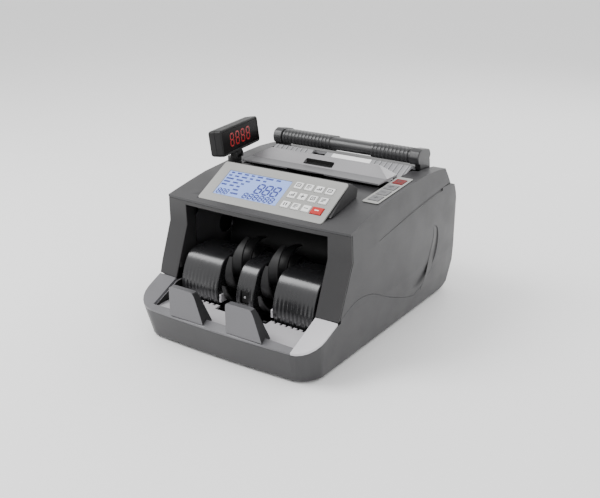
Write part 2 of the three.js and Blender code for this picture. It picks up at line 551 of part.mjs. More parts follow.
// ---------- drive ----------
function sideFrame() {
  const outline = [[-86, 9], [128, 9], [142, 40], [138, 100], [108, 146], [96, 150], [88, 168], [30, 167.4],
    [24, 158], [14, 158], [-60, 142], [-86, 112]];
  const hole = (at, r) => cylinderX(at.y, at.z, r, 90, 120, 14);
  const lightening = [[-20, 100, 13], [16, 84, 14], [92, 104, 14], [52, 84, 13]]
    .map(([y, z, r]) => cylinderX(y, z, r, 90, 120, 14));
  return cut(extrudeX(outline, FRAME_X, FRAME_X + FRAME_THICK), hole(IMPELLER, SHAFT_R + 0.6),
    hole(FEED, SHAFT_R + 0.6), hole(PICKUP, SHAFT_R - 0.4), hole(FEED_MOTOR, SHAFT_R + 3),
    hole(STACKER_MOTOR, SHAFT_R + 3), hole(FRICTION, FRICTION.rod + 0.5),
    hole(COVER_HINGE, COVER_HINGE.pin + 0.4), ...lightening);
}

// A turned shaft with its belt pulley on the left-hand end.
function drivenShaft(axis, r, pulleyR, right) {
  const rod = cylinderX(axis.y, axis.z, r, -PULLEY_X[1] - 1, right, 20);
  const pulley = cylinderX(axis.y, axis.z, pulleyR, -PULLEY_X[1], -PULLEY_X[0], 32);
  return join(rod, pulley);
}

const roller = (axis, r, x0, x1) => cut(
  cylinderX(axis.y, axis.z, r, x0, x1, 28), cylinderX(axis.y, axis.z, SHAFT_R + 0.3, x0 - 1, x1 + 1, 16));

function pickupRoller() {
  const tyres = [-30, 30].map((x) => cylinderX(PICKUP.y, PICKUP.z, PICKUP.r, x - 8, x + 8, 28));
  return join(drivenShaft(PICKUP, 3, PULLEY_R.pickup, 104), ...tyres);
}

function frictionRoller() {
  const rod = cylinderX(FRICTION.y, FRICTION.z, FRICTION.rod, -104, 104, 12);
  const sleeves = [-30, 30].map((x) => cylinderX(FRICTION.y, FRICTION.z, FRICTION.r, x - 12, x + 12, 24));
  return join(rod, ...sleeves);
}

function motor(axis, length) {
  const can = cylinderX(axis.y, axis.z, axis.r, -100.6, -100.6 + length, 28);
  const boss = cylinderX(axis.y, axis.z, 6, -102.6, -100, 16);
  const tail = cylinderX(axis.y, axis.z, 5, -101 + length, -96 + length, 16);
  return cut(join(can, boss, tail), cylinderX(axis.y, axis.z, 2.6, -104, -90, 12));
}

const motorPulley = (axis) => join(
  cylinderX(axis.y, axis.z, PULLEY_R.motor, -PULLEY_X[1], -PULLEY_X[0], 24),
  cylinderX(axis.y, axis.z, 2, -PULLEY_X[0] - 1, -92, 12));

// The convex loop that a belt makes round its pulleys, each [y, z, radius].
function hullOf(circles) {
  const points = circles.flatMap(([y, z, r]) => arc(y, z, r, 0, 345, 23));
  const sorted = points.sort((a, b) => a[0] - b[0] || a[1] - b[1]);
  const turn = (o, a, b) => (a[0] - o[0]) * (b[1] - o[1]) - (a[1] - o[1]) * (b[0] - o[0]);
  const half = (list) => list.reduce((chain, p) => {
    while (chain.length > 1 && turn(chain.at(-2), chain.at(-1), p) <= 1e-6) chain.pop();
    return [...chain, p];
  }, []).slice(0, -1);
  return [...half(sorted), ...half([...sorted].reverse())];
}

function belt(pulleys) {
  const loop = (extra) => hullOf(pulleys.map(([axis, r]) => [axis.y, axis.z, r + extra]));
  const [x0, x1] = [-PULLEY_X[1] + 0.5, -PULLEY_X[0] - 0.5];
  return cut(extrudeX(loop(0.3 + BELT_THICK), x0, x1), extrudeX(loop(0.3), x0 - 1, x1 + 1));
}

// ---------- electrics ----------
function mainsInlet() {
  const y = REAR_Y;
  const flange = extrudeY(roundedRect(40, 72, 36, 60, 3), y + 0.35, y + 2.2);
  const body = box(42.3, 69.7, y - 22, y + 1, 38.3, 57.7);
  const well = extrudeY([[46, 41], [66, 41], [66, 51], [62, 55], [50, 55], [46, 51]], y - 15, y + 5);
  const pins = [[50, 47], [56, 51], [62, 47]]
    .map(([x, z]) => box(x - 1, x + 1, y - 16, y - 7, z - 2, z + 2));
  return join(cut(join(flange, body), well), ...pins);
}

const ROCKER = { x: 19.5, z: 48, tilt: 8 };
function powerRocker() {
  const face = [[-4, -9.5], [3, -9.5], [4.2, -4], [3.4, 0], [4.2, 4], [3, 9.5], [-4, 9.5]];
  return extrudeX(face, -6, 6);
}

function mainBoard() {
  const board = box(-60, 70, 92, 152, 12, 13.6);
  const parts = [[-50, -30, 100, 116, 24], [-20, -4, 98, 112, 19], [10, 40, 100, 130, 17],
    [48, 62, 106, 140, 22]].map(([x0, x1, y0, y1, z1]) => box(x0, x1, y0, y1, 13, z1));
  return join(board, ...parts);
}

function transformer() {
  const core = box(20, 74, 40, 84, 8.4, 48);
  const winding = box(28, 66, 30, 94, 14, 42);
  return join(core, winding);
}

// ---------- assembly ----------
const machine = new THREE.Group();
machine.position.y = -1.86; // puts the origin under the middle of the whole length

function place(name, solid, look, parent = machine) {
  const mesh = new THREE.Mesh(toGeometry(solid), MATERIALS[look]);
  mesh.name = name;
  parent.add(mesh);
  return mesh;
}

function frameAt(parent, x, y, z, tilt = 0, turn = 0) {
  const group = new THREE.Group();
  group.position.set(x, y, z);
  group.rotation.set(THREE.MathUtils.degToRad(tilt), 0, THREE.MathUtils.degToRad(turn));
  parent.add(group);
  return group;
}

place('lower_case', lowerCase(), 'body');
place('upper_housing', upperHousing(), 'body');
place('front_bezel', frontBezel(), 'bezel');
place('rear_panel', rearPanel(), 'bezel');
place('stacker_tray', stackerTray(), 'silver');
place('stacker_guide', stackerGuide(), 'smoke');
place('note_guide_plate', noteGuidePlate(), 'black');
place('note_stop_left', noteStop(-64), 'silver');
place('note_stop_right', noteStop(15), 'silver');
place('hopper_ramp', hopperRamp(), 'silver');
place('feed_cover', feedCover(), 'silver');
place('carry_handle', carryHandle(), 'body');

for (const [name, x, y] of [['foot_front_left', -92, -132], ['foot_front_right', 92, -132],
  ['foot_rear_left', -92, 128], ['foot_rear_right', 92, 128]]) {
  place(name, cylinderZ(x, y, 9, 0, BASE_Z - 0.35, 24), 'rubber');
}

place('console_housing', consoleHousing(), 'bezel');
const consoleFace = frameAt(machine, 0, CONSOLE.y, CONSOLE.z, CONSOLE.slope);
place('console_faceplate', consoleFaceplate(), 'silver', consoleFace);
const lcd = box(LCD.x[0] + GAP, LCD.x[1] - GAP, LCD.v[0] + GAP, LCD.v[1] - GAP, -2.1, -0.3);
place('lcd_window', lcd, 'lcd', consoleFace);
KEY.rows.forEach((v, row) => KEY.columns.forEach((x, column) => {
  const [halfX, halfY] = keySize(column, row);
  const look = isStartKey(column, row) ? 'keyRed' : 'keyWhite';
  const key = place(`key_${row + 1}${'abcd'[column]}`, keyCap(halfX, halfY, KEY_RISE), look, consoleFace);
  key.position.set(x, v, 0);
}));

const deckSlope = THREE.MathUtils.radToDeg(
  Math.atan2(DECK_KEYS_Z[1] - DECK_KEYS_Z[0], DECK_KEYS_Y[1] - DECK_KEYS_Y[0]));
const deckFace = frameAt(machine, SIDE_KEY.x, 0, deckHeight(0), deckSlope);
place('side_key_plate', sideKeyPlate(), 'silver', deckFace);
SIDE_KEY.y.forEach((y, i) => {
  const look = i === 3 ? 'keyRed' : 'keyGrey';
  const cap = keyCap(SIDE_KEY.width / 2, SIDE_KEY.depth / 2, SIDE_KEY.rise);
  place(`side_key_${i + 1}`, cap, look, deckFace).position.set(0, y, SIDE_PLATE_TOP);
});

place('display_mount', cylinderZ(POST.x, DISPLAY.y, POST.r, 158, 171.8, 20), 'black');
const swivel = frameAt(machine, POST.x, DISPLAY.y, DISPLAY.z, 0, 90 - DISPLAY.yaw);
place('display_neck', displayNeck().translate([0, -DISPLAY.depth / 2 - DISPLAY_LEAD, 0]), 'black', swivel);
const hinge = frameAt(swivel, 0, -DISPLAY_LEAD, -DISPLAY_HINGE_DROP, -DISPLAY.tilt);
const centred = [0, -DISPLAY.depth / 2, DISPLAY_HINGE_DROP];
place('display_case', displayCase().translate(centred), 'black', hinge);
place('display_window', displayWindow().translate(centred), 'redWindow', hinge);

place('mains_inlet', mainsInlet(), 'black');
const rocker = frameAt(machine, ROCKER.x, REAR_Y - 1, ROCKER.z, -ROCKER.tilt);
place('power_rocker', powerRocker(), 'black', rocker);

place('side_frame_right', sideFrame(), 'steel');
place('side_frame_left', mirrorX(sideFrame()), 'steel');
place('impeller_shaft', drivenShaft(IMPELLER, SHAFT_R, PULLEY_R.impeller, 105), 'steel');
place('impeller_left', impeller().translate([-IMPELLER.x, 0, 0]), 'rubber');
place('impeller_right', impeller().translate([IMPELLER.x, 0, 0]), 'rubber');
place('stacker_motor', motor(STACKER_MOTOR, 44), 'steel');
place('stacker_motor_pulley', motorPulley(STACKER_MOTOR), 'black');
place('stacker_belt', belt([[IMPELLER, PULLEY_R.impeller], [STACKER_MOTOR, PULLEY_R.motor]]), 'rubber');
place('feed_shaft', drivenShaft(FEED, SHAFT_R, PULLEY_R.feed, 105), 'steel');
place('feed_roller_left', roller(FEED, FEED.r, -44, -16), 'rubber');
place('feed_roller_right', roller(FEED, FEED.r, 16, 44), 'rubber');
place('pickup_roller', pickupRoller(), 'rubber');
place('friction_roller', frictionRoller(), 'rubber');
place('feed_motor', motor(FEED_MOTOR, 52), 'steel');
place('feed_motor_pulley', motorPulley(FEED_MOTOR), 'black');
const feedPulleys = [[FEED_MOTOR, PULLEY_R.motor], [FEED, PULLEY_R.feed], [PICKUP, PULLEY_R.pickup]];
place('feed_belt', belt(feedPulleys), 'rubber');
place('main_board', mainBoard(), 'board');
place('transformer', transformer(), 'steel');

export default machine;
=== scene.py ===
"""Banknote counting machine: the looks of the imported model, at rest and at every pose.

Lengths are millimetres in the design's own frame (X right, Y back, Z up), and metres() takes them to the
shared frame. Angles are radians unless a comment says degrees.
"""
import json
import math

import bmesh
import bpy
from mathutils import Matrix, Vector


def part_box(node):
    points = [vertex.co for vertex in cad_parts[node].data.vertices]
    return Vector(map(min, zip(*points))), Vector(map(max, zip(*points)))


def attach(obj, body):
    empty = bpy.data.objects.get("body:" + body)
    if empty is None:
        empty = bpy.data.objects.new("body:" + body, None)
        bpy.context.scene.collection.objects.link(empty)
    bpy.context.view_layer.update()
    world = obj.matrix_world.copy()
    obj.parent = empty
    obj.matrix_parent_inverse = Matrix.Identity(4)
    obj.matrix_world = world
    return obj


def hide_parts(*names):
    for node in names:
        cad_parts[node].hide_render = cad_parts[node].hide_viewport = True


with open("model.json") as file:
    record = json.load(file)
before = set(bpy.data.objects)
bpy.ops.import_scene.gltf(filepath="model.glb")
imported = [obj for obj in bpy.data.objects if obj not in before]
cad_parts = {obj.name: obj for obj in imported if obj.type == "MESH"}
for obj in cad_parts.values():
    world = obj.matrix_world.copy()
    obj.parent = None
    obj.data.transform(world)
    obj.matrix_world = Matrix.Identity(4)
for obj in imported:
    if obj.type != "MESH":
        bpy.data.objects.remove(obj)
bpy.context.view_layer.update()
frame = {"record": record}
SCENE = bpy.context.scene
MM = 0.001

# ---------- driving dimensions ----------
HALF_WIDTH = 125
REAR_Y = 171
SHIFT_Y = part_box("lower_case")[1].y / MM - REAR_Y
TAPER_FROM_Z = 118  # the sides lean in above this height, by 1 in TAPER
TAPER = 34

SIDES = {"left": -1, "right": 1}

# The rear wing's hooked line, [y, z], the point its finger recess fades towards, and the crease above it.
HOOK = ((70, 30), (84, 37), (95, 46), (104, 59), (110, 74), (111.5, 89), (107, 100.5), (99, 104.5))
HOOK_MIDDLE = (62, 78)
CREASE = ((-38, 127), (20, 135.5), (80, 142.5), (139, 147.5))
SEAM = ((-112.7, -111.9), (-175, -140), (2, 37))  # at the front left of the base
SCOOP = {"x": -2, "y": 7.5, "z": 172.5, "half": 40, "reach": 17, "depth": 5.6}
LIP_BACK = 27.6  # where the feed cover's lip turns into its slope

TRAY_PAINTED_SHADE_X = 96.8  # painted shade: the tray is darker left of minus this and, up to plus this, in front of the y below
TRAY_PAINTED_SHADE_Y = -160.8

CONSOLE = {"y": -91.5, "z": 153.6, "slope": math.radians(28.94)}
KEY_COLUMNS = (29, 42.6, 56.2, 69.8)
KEY_ROWS = (46.3, 31.2, 16)
KEY_RISE = 1.2
SIDE_KEY_X = 107.5
SIDE_KEY_Y = (-17.5, 0, 17.5, 37)
DECK_KEYS = ((-31, 164.6), (54, 172.4))
IMPELLER = {"y": -72, "z": 62, "r": 50, "x": 25, "width": 17, "blades": 9, "hub": 13, "shaft": 4.3}
BLADE = {"root": 11.5, "sweep": 1.15, "lean": 2.3, "thin": 0.5, "swell": 1.5, "taper_from": 0.35,
         "taper": 0.72}
GUIDE_SPANS = {"left": (-92, -38.5), "centre": (-12, 12), "right": (38.5, 92)}
GUIDE_FACE = ((-72, 92.4), (-90, 92.4), (-99.5, 90.4), (-106, 85.4), (-112, 75), (-116.5, 62), (-117.5, 51),
              (-114.8, 40), (-110, 28), (-108, 7))
GUIDE_BACK = -58
GUIDE_FOOT = 7
GUIDE_RIB = {"pitch": 5.2, "depth": 0.2, "full_z": 54, "gone_z": 84}
SENSOR_CAVITY = ((-6, 6), (-125, -112), (50, 65))
SENSOR_WINDOW = ((-5.4, 5.4), (-115.2, -112.4), (50.6, 64.4))
STOP = {"x": (-64, 15), "width": 48, "slant": (37, 33.5), "z": (38.2, 69, 75), "wall": 2.2, "roof": 2.4}
DISPLAY = {"width": 95, "height": 32, "depth": 18, "place": (-107, 7.1, 202.7), "turn": math.radians(99.7),
           "tilt": math.radians(-7.8), "drop": 21, "pin_y": -3.4}
HANDLE_HALF = 100
HANDLE_PIVOT = (112, 159)
HANDLE_SECTION = ((88, 180.5), (107, 174.4), (114.5, 177), (119.5, 187), (116, 193.2), (96, 197),
                  (89.5, 194.6), (86, 188))
GRIPS = {"left": (-92, -19), "right": (39, 91)}
RIB_PITCH = 5.3

CAMERA_AT = (543.7, -810.8, 449.3)  # in the shared frame
CAMERA_AZIMUTH = math.radians(34.12)
CAMERA_ELEVATION = math.radians(20.8)
CAMERA_LENS = 51.765
WORLD_STRENGTH = 1.25

# Frames of the sloping console, the deck's key strip and the customer display, each in design millimetres.
DESIGN = Matrix.Identity(4)
DECK_SLOPE = math.atan2(DECK_KEYS[1][1] - DECK_KEYS[0][1], DECK_KEYS[1][0] - DECK_KEYS[0][0])
DECK_RISE = DECK_KEYS[0][1] - DECK_KEYS[0][0] * math.tan(DECK_SLOPE)
ON_CONSOLE = Matrix.Translation((0, CONSOLE["y"], CONSOLE["z"])) @ Matrix.Rotation(CONSOLE["slope"], 4, "X")
ON_DECK = Matrix.Translation((SIDE_KEY_X, 0, DECK_RISE)) @ Matrix.Rotation(DECK_SLOPE, 4, "X")
ON_SWIVEL = Matrix.Translation(DISPLAY["place"]) @ Matrix.Rotation(DISPLAY["turn"], 4, "Z")
ON_TILT_PIN = ON_SWIVEL @ Matrix.Translation((0, DISPLAY["pin_y"], -DISPLAY["drop"]))
ON_DISPLAY = (ON_TILT_PIN @ Matrix.Rotation(DISPLAY["tilt"], 4, "X")
              @ Matrix.Translation((0, -DISPLAY["depth"] / 2, DISPLAY["drop"])))
DISPLAY_FACE = ON_DISPLAY @ Matrix.Rotation(math.pi / 2, 4, "X")  # x across, y up, z out of the face


def metres(x, y, z):
    return Vector((x * MM, (y + SHIFT_Y) * MM, z * MM))


# ---------- camera, floor and light ----------
def add_camera():
    camera = bpy.data.objects.new("camera", bpy.data.cameras.new("camera"))
    camera.data.lens = CAMERA_LENS
    camera.data.sensor_width = 36
    camera.location = Vector(CAMERA_AT) * MM
    camera.rotation_euler = (math.pi / 2 - CAMERA_ELEVATION, 0, CAMERA_AZIMUTH)
    SCENE.collection.objects.link(camera)
    SCENE.camera = camera


def add_floor():
    """A plain pale floor, 12 metres wide."""
    mesh = bpy.data.meshes.new("floor")
    reach = 6
    corners = [(-reach, -reach, 0), (reach, -reach, 0), (reach, reach, 0), (-reach, reach, 0)]
    mesh.from_pydata(corners, [], [(0, 1, 2, 3)])
    floor = bpy.data.objects.new("floor", mesh)
    SCENE.collection.objects.link(floor)
    floor.data.materials.append(plain("floor_white", (0.93, 0.93, 0.93), 0.6))


def add_light(name, place, size, power):
    """A soft rectangular light, placed and sized in metres, that faces the machine."""
    light = bpy.data.objects.new(name, bpy.data.lights.new(name, "AREA"))
    light.data.shape = "RECTANGLE"
    light.data.size, light.data.size_y = size
    light.data.energy = power
    light.location = place
    aim = Vector((0, 0, 0.08)) - Vector(place)
    light.rotation_euler = aim.to_track_quat("-Z", "Y").to_euler()
    SCENE.collection.objects.link(light)


def add_world():
    world = bpy.data.worlds.new("studio")
    world.use_nodes = True
    background = world.node_tree.nodes["Background"]
    background.inputs["Color"].default_value = (1, 1, 1, 1)
    background.inputs["Strength"].default_value = WORLD_STRENGTH
    SCENE.world = world


# ---------- materials ----------
# Scales per metre of the slow drift in colour, the patches in roughness and the moulding's speckle.
DRIFT_SCALE, PATCH_SCALE, FLAKE_SCALE = 9.0, 35.0, 2600.0


def plain(name, color, roughness):
    made = bpy.data.materials.new(name)
    made.use_nodes = True
    shader = made.node_tree.nodes["Principled BSDF"]
    shader.inputs["Base Color"].default_value = (*color, 1)
    shader.inputs["Roughness"].default_value = roughness
    return made


def textured(name, color, roughness, metallic=0.0, variation=0.08, grain=900.0, bump=0.00002,
             stretch=(1, 1, 1), edge_wear_and_crease_shade=0.12, coat=0.0, speckle=0.0, gloss=0.5):
    """A surface with drifting colour, a fine moulded or brushed grain, lighter rubbed edges and painted shade
    in creases.

    grain is the texture's scale per metre, bump its height in metres, stretch its factor along each axis.
    """
    made = bpy.data.materials.new(name)
    made.use_nodes = True
    tree = made.node_tree
    shader = tree.nodes["Principled BSDF"]
    shader.inputs["Metallic"].default_value = metallic
    shader.inputs["Coat Weight"].default_value = coat
    shader.inputs["Coat Roughness"].default_value = 0.25
    shader.inputs["Specular IOR Level"].default_value = gloss

    def add(kind, **values):
        node = tree.nodes.new(kind)
        for key, value in values.items():
            setattr(node, key, value)
        return node

    place = add("ShaderNodeTexCoord")
    mapping = add("ShaderNodeMapping")
    mapping.inputs["Scale"].default_value = stretch
    tree.links.new(place.outputs["Object"], mapping.inputs["Vector"])

    def noise(scale, detail, source):
        node = add("ShaderNodeTexNoise")
        node.inputs["Scale"].default_value = scale
        node.inputs["Detail"].default_value = detail
        tree.links.new(source, node.inputs["Vector"])
        return node.outputs["Fac"]

    def remap(source, low, high, start=0.3, end=0.7):
        node = add("ShaderNodeMapRange")
        node.inputs["From Min"].default_value = start
        node.inputs["From Max"].default_value = end
        node.inputs["To Min"].default_value = low
        node.inputs["To Max"].default_value = high
        tree.links.new(source, node.inputs["Value"])
        return node.outputs["Result"]

    def multiply(a, b):
        node = add("ShaderNodeMath", operation="MULTIPLY")
        tree.links.new(a, node.inputs[0])
        tree.links.new(b, node.inputs[1])
        return node.outputs[0]

    drift = noise(DRIFT_SCALE, 3.0, place.outputs["Object"])
    fine = noise(grain, 2.0, mapping.outputs["Vector"])
    shade = multiply(remap(drift, 1 - variation, 1 + variation),
                     remap(fine, 1 - variation / 2, 1 + variation / 2))
    if speckle:
        flake = add("ShaderNodeTexVoronoi")
        flake.inputs["Scale"].default_value = FLAKE_SCALE
        tree.links.new(place.outputs["Object"], flake.inputs["Vector"])
        shade = multiply(shade, remap(flake.outputs["Distance"], 1 + speckle, 1 - speckle, 0.0, 0.8))
    geometry = add("ShaderNodeNewGeometry")
    # Lighter on sharp outer edges as rubbed edges, and darker in creases and hollows as painted shade.
    shade = multiply(shade, remap(geometry.outputs["Pointiness"], 1 - edge_wear_and_crease_shade * 0.5, 1 + edge_wear_and_crease_shade, 0.46, 0.56))
    tint = add("ShaderNodeMix", data_type="RGBA", blend_type="MULTIPLY")
    tint.inputs["Factor"].default_value = 1
    tint.inputs["A"].default_value = (*color, 1)
    tree.links.new(shade, tint.inputs["B"])
    tree.links.new(tint.outputs["Result"], shader.inputs["Base Color"])
    rough = noise(PATCH_SCALE, 4.0, place.outputs["Object"])
    tree.links.new(remap(rough, roughness * 0.86, min(1, roughness * 1.16)), shader.inputs["Roughness"])
    relief = add("ShaderNodeBump")
    relief.inputs["Distance"].default_value = bump
    relief.inputs["Strength"].default_value = 0.6
    tree.links.new(fine, relief.inputs["Height"])
    tree.links.new(relief.outputs["Normal"], shader.inputs["Normal"])
    return made


def glowing(name, color, strength):
    """A lit face, a little uneven as a back light is."""
    made = textured(name, color, 0.25, variation=0.04, bump=0.000002, edge_wear_and_crease_shade=0)
    shader = made.node_tree.nodes["Principled BSDF"]
    shader.inputs["Emission Color"].default_value = (*color, 1)
    shader.inputs["Emission Strength"].default_value = strength
    return made


MATERIALS = {
    "body_grey": textured("body_grey", (0.037, 0.0365, 0.0385), 0.38, 0.15, variation=0.05, coat=0.06,
                          speckle=0.14, gloss=0.42),
    "handle_grey": textured("handle_grey", (0.026, 0.026, 0.0275), 0.36, 0.15, coat=0.12, speckle=0.1),
    "bezel_grey": textured("bezel_grey", (0.017, 0.0165, 0.0175), 0.42, 0.1, coat=0.05, speckle=0.1),
    "silver_plastic": textured("silver_plastic", (0.5, 0.49, 0.51), 0.38, 0.15, variation=0.05, speckle=0.05),
    "cover_silver": textured("cover_silver", (0.27, 0.265, 0.275), 0.36, 0.25, variation=0.05, speckle=0.08),
    # A darker copy of the cover's silver, used as painted shade on the cover's lip.
    "cover_lip_painted_shade": textured("cover_lip_painted_shade", (0.15, 0.149, 0.155), 0.38, 0.2, variation=0.05, speckle=0.08),
    "stop_grey": textured("stop_grey", (0.115, 0.114, 0.121), 0.33, 0.3, coat=0.2, speckle=0.1),
    "console_grey": textured("console_grey", (0.29, 0.29, 0.28), 0.45, 0.1, variation=0.04, speckle=0.06),
    "ramp_grey": textured("ramp_grey", (0.3, 0.3, 0.31), 0.42, 0.1, variation=0.05),
    # White for the red key's printed sign, and for the painted highlight on the ramp.
    "white_print_and_highlight": textured("white_print_and_highlight", (0.86, 0.86, 0.86), 0.3, variation=0.03),
    "black_plastic": textured("black_plastic", (0.007, 0.007, 0.0073), 0.45, grain=1400.0, bump=0.00003,
                              gloss=0.25),
    "smoke_plastic": textured("smoke_plastic", (0.018, 0.018, 0.0195), 0.27, 0.3, variation=0.12, grain=150.0,
                              bump=0.000006, stretch=(8, 1, 1), coat=0.4),
    "black_rubber": textured("black_rubber", (0.008, 0.008, 0.0085), 0.5, variation=0.25, grain=1600.0,
                             bump=0.00005, gloss=0.3),
    "steel": textured("steel", (0.36, 0.36, 0.38), 0.34, 0.95, grain=420.0, stretch=(1, 1, 14), bump=0.00001),
    "lcd_panel": glowing("lcd_panel", (0.24, 0.35, 0.72), 0.24),
    "lcd_ink": textured("lcd_ink", (0.012, 0.02, 0.19), 0.5, variation=0.05),
    "red_window": textured("red_window", (0.0015, 0.0008, 0.001), 0.3, variation=0.1, bump=0.000002,
                           gloss=0.1),
    "red_digits": glowing("red_digits", (0.26, 0.006, 0.008), 0.22),
    "key_white": textured("key_white", (0.74, 0.74, 0.73), 0.42, variation=0.03),
    "key_grey": textured("key_grey", (0.13, 0.13, 0.135), 0.45, variation=0.05),
    "key_red": textured("key_red", (0.42, 0.006, 0.003), 0.38, variation=0.06),
    "key_dark_red": textured("key_dark_red", (0.15, 0.003, 0.004), 0.4, variation=0.08, gloss=0.25),
    "mark_dark": textured("mark_dark", (0.03, 0.03, 0.034), 0.5, variation=0.1),
    "board_green": textured("board_green", (0.02, 0.12, 0.05), 0.4, variation=0.2),
    "core_iron": textured("core_iron", (0.08, 0.075, 0.07), 0.5, 0.6, grain=500.0, stretch=(1, 12, 1)),
}
# CAD nodes whose colour differs from their slot's.
NODE_MATERIALS = {"feed_cover": "cover_silver", "side_key_4": "key_dark_red"}


def paint(piece, name):
    piece.data.materials.clear()
    piece.data.materials.append(MATERIALS[name])
    return piece


# ---------- outlines ----------
def arc(cu, cv, radius, start, end, count):
    """Points of an arc, in degrees, both ends included."""
    angles = [math.radians(start + (end - start) * i / count) for i in range(count + 1)]
    return [(cu + radius * math.cos(a), cv + radius * math.sin(a)) for a in angles]


def ring_angles(count):
    """Evenly spaced angles once round, in radians."""
    return [2 * math.pi * k / count for k in range(count)]


def rounded_rect(u0, u1, v0, v1, radius, count=6):
    left, right, low, high = u0 + radius, u1 - radius, v0 + radius, v1 - radius
    return (arc(right, low, radius, -90, 0, count) + arc(right, high, radius, 0, 90, count)
            + arc(left, high, radius, 90, 180, count) + arc(left, low, radius, 180, 270, count))


def smooth(points, count):
    """A Catmull-Rom curve through the points, with count stretches in each span."""
    ends = [points[0], *points, points[-1]]
    curve = []
    for a, b, c, d in zip(ends, ends[1:], ends[2:], ends[3:]):
        for i in range(count):
            t = i / count
            curve.append(tuple(
                0.5 * (2 * b[k] + (c[k] - a[k]) * t + (2 * a[k] - 5 * b[k] + 4 * c[k] - d[k]) * t * t
                       + (3 * b[k] - a[k] - 3 * c[k] + d[k]) * t ** 3) for k in (0, 1)))
    return [*curve, tuple(points[-1])]


def inset(outline, distance):
    """The counter-clockwise outline moved inwards along the mean of its two edge normals."""
    moved = []
    for i, point in enumerate(outline):
        before, here, after = (Vector(outline[i - 1]), Vector(point), Vector(outline[(i + 1) % len(outline)]))
        first, second = (here - before).normalized(), (after - here).normalized()
        normal = Vector((-(first.y + second.y), first.x + second.x)).normalized()
        reach = distance / max(0.5, normal.dot(Vector((-first.y, first.x))))
        moved.append(tuple(here + normal * reach))
    return moved


def fillet(outline, radius, count=5):
    """The outline with every corner rounded as far as its edges allow."""
    rounded = []
    for i, point in enumerate(outline):
        here = Vector(point)
        before, after = Vector(outline[i - 1]) - here, Vector(outline[(i + 1) % len(outline)]) - here
        reach = min(radius, before.length * 0.45, after.length * 0.45)
        start, end = here + before.normalized() * reach, here + after.normalized() * reach
        for k in range(count + 1):
            t = k / count
            rounded.append(tuple(start * (1 - t) ** 2 + here * 2 * t * (1 - t) + end * t * t))
    return rounded


# ---------- meshes ----------
def piece_from(name, vertices, faces, at=DESIGN):
    """A closed mesh from points in millimetres in the frame at, its faces turned outwards."""
    mesh = bpy.data.meshes.new(name)
    mesh.from_pydata([metres(*(at @ Vector(v))) for v in vertices], [], faces)
    bm = bmesh.new()
    bm.from_mesh(mesh)
    bmesh.ops.remove_doubles(bm, verts=bm.verts, dist=0.001 * MM)
    bmesh.ops.recalc_face_normals(bm, faces=bm.faces)
    bm.to_mesh(mesh)
    bm.free()
    made = bpy.data.objects.new(name, mesh)
    SCENE.collection.objects.link(made)
    return made


def loft(name, rings, at=DESIGN):
    """Skins a list of rings with the same number of points, and closes both ends."""
    count = len(rings[0])
    vertices = [p for ring in rings for p in ring]
    faces = [tuple(range(count)), tuple(range((len(rings) - 1) * count, len(rings) * count))[::-1]]
    for level in range(len(rings) - 1):
        low, high = level * count, (level + 1) * count
        for i in range(count):
            j = (i + 1) % count
            faces.append((low + i, low + j, high + j, high + i))
    return piece_from(name, vertices, faces, at)


def prism_x(name, outline, x0, x1, at=DESIGN):
    return loft(name, [[(x, y, z) for y, z in outline] for x in (x0, x1)], at)


def prism_y(name, outline, y0, y1, at=DESIGN):
    return loft(name, [[(x, y, z) for x, z in outline] for y in (y0, y1)], at)


def box(name, xs, ys, zs):
    """An upright block between two values in each direction."""
    (y0, y1), (z0, z1) = ys, zs
    return prism_x(name, [(y0, z0), (y1, z0), (y1, z1), (y0, z1)], *xs)


def plates(name, outlines, z0, z1, at=DESIGN):
    """Thin separate plates of the given [x, y] outlines, as one piece."""
    vertices, faces = [], []
    for outline in outlines:
        first, count = len(vertices), len(outline)
        vertices += [(x, y, z) for z in (z0, z1) for x, y in outline]
        faces += [tuple(range(first, first + count)), tuple(range(first + count, first + 2 * count))[::-1]]
        faces += [(first + i, first + (i + 1) % count, first + count + (i + 1) % count, first + count + i)
                  for i in range(count)]
    return piece_from(name, vertices, faces, at)


def tube(name, path, radii, sides=14):
    """A round tube through the points, with a radius at each, closed at both ends."""
    rings = []
    for i, point in enumerate(path):
        here = Vector(point)
        along = (Vector(path[min(i + 1, len(path) - 1)]) - Vector(path[max(i - 1, 0)])).normalized()
        across = along.cross(Vector((1, 0, 0))).normalized()
        up = across.cross(along)
        rings.append([tuple(here + (across * math.cos(a) + up * math.sin(a)) * radii[i])
                      for a in ring_angles(sides)])
    return loft(name, rings)


def rod_x(name, y, z, radius, x0, x1, sides=48):
    return prism_x(name, arc(y, z, radius, 0, 360 * (sides - 1) / sides, sides - 1), x0, x1)


def combine(base, tool, operation):
    """Joins or cuts base with tool, which is used up."""
    modifier = base.modifiers.new("combine", "BOOLEAN")
    modifier.operation = operation
    modifier.solver = "MANIFOLD"
    modifier.object = tool
    bpy.context.view_layer.update()
    evaluated = base.evaluated_get(bpy.context.evaluated_depsgraph_get())
    mesh = bpy.data.meshes.new_from_object(evaluated)
    base.modifiers.clear()
    base.data = mesh
    bpy.data.objects.remove(tool)
    return base


def cut(base, *tools):
    for tool in tools:
        combine(base, tool, "DIFFERENCE")
    return base


def join(base, *tools):
    for tool in tools:
        combine(base, tool, "UNION")
    return base


def within(base, tool):
    return combine(base, tool, "INTERSECT")


def soften(piece, width, segments=2, angle=28):
    """Bevels edges sharper than angle, in degrees, by width in millimetres, and shades the rest smooth."""
    for polygon in piece.data.polygons:
        polygon.use_smooth = True
    bevel = piece.modifiers.new("rounded_edges", "BEVEL")
    bevel.width = width * MM
    bevel.segments = segments
    bevel.limit_method = "ANGLE"
    bevel.angle_limit = math.radians(angle)
    bevel.use_clamp_overlap = True
    normals = piece.modifiers.new("flat_normals", "WEIGHTED_NORMAL")
    normals.keep_sharp = False
    return piece


